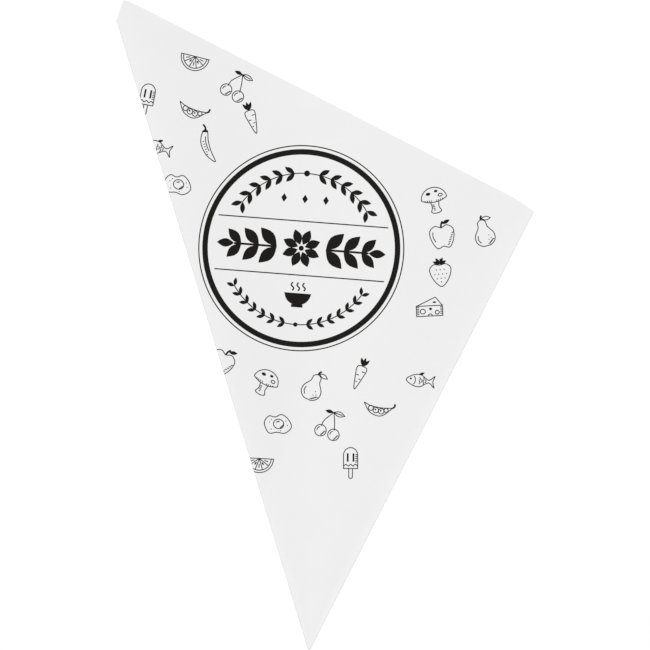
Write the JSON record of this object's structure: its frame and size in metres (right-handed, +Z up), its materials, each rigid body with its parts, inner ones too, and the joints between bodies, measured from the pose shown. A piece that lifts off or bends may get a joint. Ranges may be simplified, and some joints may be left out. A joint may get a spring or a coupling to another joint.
{
  "type": "paper cone bag",
  "caption": "Pointed takeaway bag folded from a sheet of thin white paper, lying flat on its back with its mouth sprung slightly open.",
  "frame": {"origin": "centre of the bag's outline, on the surface that it lies on", "axes": "+Y along the cone's axis from the tip to the mouth, +X towards the glued side, +Z up through the printed front"},
  "size_m": [0.1652, 0.2404, 0.0104],
  "materials": {
    "paper": "matte"
  },
  "bodies": {
    "root": {"cone_bag": "paper"}
  },
  "joints": []
}
